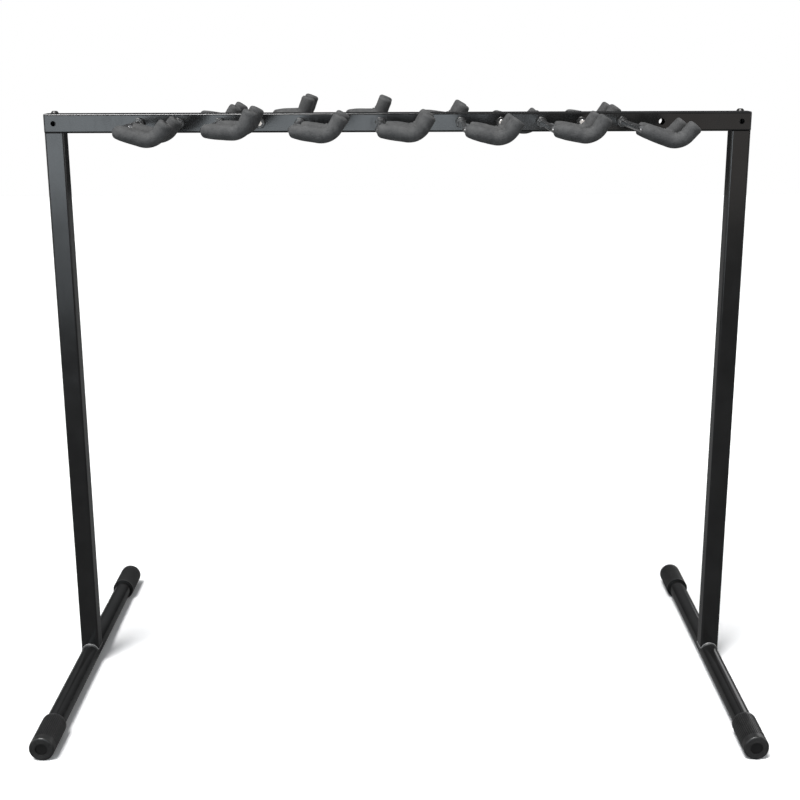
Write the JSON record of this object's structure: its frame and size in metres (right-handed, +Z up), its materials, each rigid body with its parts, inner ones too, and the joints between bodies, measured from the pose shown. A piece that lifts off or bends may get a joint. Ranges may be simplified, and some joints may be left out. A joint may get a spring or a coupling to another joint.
{
  "type": "double-sided guitar rack",
  "caption": "Square-tube beam on two legs with round feet, carrying foam-sleeved swivelling neck hooks on both sides for hanging small guitars.",
  "frame": {"origin": "on the floor, under the middle of the beam", "axes": "+X along the beam, the way the hook arms point; -Y to the front row of seven hooks; +Z up"},
  "size_m": [0.932, 0.57, 0.8033],
  "materials": {
    "black_powder_coat": "satin powder coat",
    "zinc_steel": "bright zinc plate",
    "black_steel": "black oxide",
    "plain_steel": "bare turned steel",
    "foam": "matt closed-cell foam",
    "cap_rubber": "semi-matt moulded rubber",
    "black_plastic": "matt moulded plastic"
  },
  "bodies": {
    "frame": {"beam": "black_powder_coat", "left_beam_plug": "black_plastic", "left_foot_tube": "black_powder_coat", "left_foot_weld": "black_powder_coat", "left_front_cap": "cap_rubber", "left_rear_cap": "cap_rubber", "left_thread_plug": "plain_steel", "left_upright": "black_powder_coat", "leg_bolts": "black_steel", "right_beam_plug": "black_plastic", "right_foot_tube": "black_powder_coat", "right_foot_weld": "black_powder_coat", "right_front_cap": "cap_rubber", "right_rear_cap": "cap_rubber", "right_thread_plug": "plain_steel", "right_upright": "black_powder_coat"},
    "front_hook_1": {"front_hook_1_yoke": "zinc_steel", "front_hook_1_sleeves": "foam", "front_hook_1_nuts": "black_steel"},
    "front_hook_2": {"front_hook_2_yoke": "zinc_steel", "front_hook_2_sleeves": "foam", "front_hook_2_nuts": "black_steel"},
    "front_hook_3": {"front_hook_3_yoke": "zinc_steel", "front_hook_3_sleeves": "foam", "front_hook_3_nuts": "black_steel"},
    "front_hook_4": {"front_hook_4_yoke": "zinc_steel", "front_hook_4_sleeves": "foam", "front_hook_4_nuts": "black_steel"},
    "front_hook_5": {"front_hook_5_yoke": "zinc_steel", "front_hook_5_sleeves": "foam", "front_hook_5_nuts": "black_steel"},
    "front_hook_6": {"front_hook_6_yoke": "zinc_steel", "front_hook_6_sleeves": "foam", "front_hook_6_nuts": "black_steel"},
    "front_hook_7": {"front_hook_7_yoke": "zinc_steel", "front_hook_7_sleeves": "foam", "front_hook_7_nuts": "black_steel"},
    "rear_hook_1": {"rear_hook_1_yoke": "zinc_steel", "rear_hook_1_sleeves": "foam", "rear_hook_1_nuts": "black_steel"},
    "rear_hook_2": {"rear_hook_2_yoke": "zinc_steel", "rear_hook_2_sleeves": "foam", "rear_hook_2_nuts": "black_steel"},
    "rear_hook_3": {"rear_hook_3_yoke": "zinc_steel", "rear_hook_3_sleeves": "foam", "rear_hook_3_nuts": "black_steel"},
    "rear_hook_4": {"rear_hook_4_yoke": "zinc_steel", "rear_hook_4_sleeves": "foam", "rear_hook_4_nuts": "black_steel"},
    "rear_hook_5": {"rear_hook_5_yoke": "zinc_steel", "rear_hook_5_sleeves": "foam", "rear_hook_5_nuts": "black_steel"},
    "rear_hook_6": {"rear_hook_6_yoke": "zinc_steel", "rear_hook_6_sleeves": "foam", "rear_hook_6_nuts": "black_steel"}
  },
  "joints": [
    {"name": "front_hook_1_swivel", "type": "hinge", "parent": "frame", "child": "front_hook_1", "pos_m": [-0.33675, 0, 0.7725], "axis": [0, 1, 0], "range_deg": [-46, 14]},
    {"name": "front_hook_2_swivel", "type": "hinge", "parent": "frame", "child": "front_hook_2", "pos_m": [-0.23175, 0, 0.7725], "axis": [0, 1, 0], "range_deg": [-33, 27]},
    {"name": "front_hook_3_swivel", "type": "hinge", "parent": "frame", "child": "front_hook_3", "pos_m": [-0.12675, 0, 0.7725], "axis": [0, 1, 0], "range_deg": [-39, 21]},
    {"name": "front_hook_4_swivel", "type": "hinge", "parent": "frame", "child": "front_hook_4", "pos_m": [-0.02175, 0, 0.7725], "axis": [0, 1, 0], "range_deg": [-38, 22]},
    {"name": "front_hook_5_swivel", "type": "hinge", "parent": "frame", "child": "front_hook_5", "pos_m": [0.08325, 0, 0.7725], "axis": [0, 1, 0], "range_deg": [-44, 16]},
    {"name": "front_hook_6_swivel", "type": "hinge", "parent": "frame", "child": "front_hook_6", "pos_m": [0.18825, 0, 0.7725], "axis": [0, 1, 0], "range_deg": [-41, 19]},
    {"name": "front_hook_7_swivel", "type": "hinge", "parent": "frame", "child": "front_hook_7", "pos_m": [0.29325, 0, 0.7725], "axis": [0, 1, 0], "range_deg": [-50, 10]},
    {"name": "rear_hook_1_swivel", "type": "hinge", "parent": "frame", "child": "rear_hook_1", "pos_m": [-0.28425, 0, 0.7725], "axis": [0, 1, 0], "range_deg": [-40, 20]},
    {"name": "rear_hook_2_swivel", "type": "hinge", "parent": "frame", "child": "rear_hook_2", "pos_m": [-0.17925, 0, 0.7725], "axis": [0, 1, 0], "range_deg": [-28, 32]},
    {"name": "rear_hook_3_swivel", "type": "hinge", "parent": "frame", "child": "rear_hook_3", "pos_m": [-0.07425, 0, 0.7725], "axis": [0, 1, 0], "range_deg": [-30, 30]},
    {"name": "rear_hook_4_swivel", "type": "hinge", "parent": "frame", "child": "rear_hook_4", "pos_m": [0.03075, 0, 0.7725], "axis": [0, 1, 0], "range_deg": [-38, 22]},
    {"name": "rear_hook_5_swivel", "type": "hinge", "parent": "frame", "child": "rear_hook_5", "pos_m": [0.13575, 0, 0.7725], "axis": [0, 1, 0], "range_deg": [-50, 10]},
    {"name": "rear_hook_6_swivel", "type": "hinge", "parent": "frame", "child": "rear_hook_6", "pos_m": [0.24075, 0, 0.7725], "axis": [0, 1, 0], "range_deg": [-42, 18]}
  ]
}
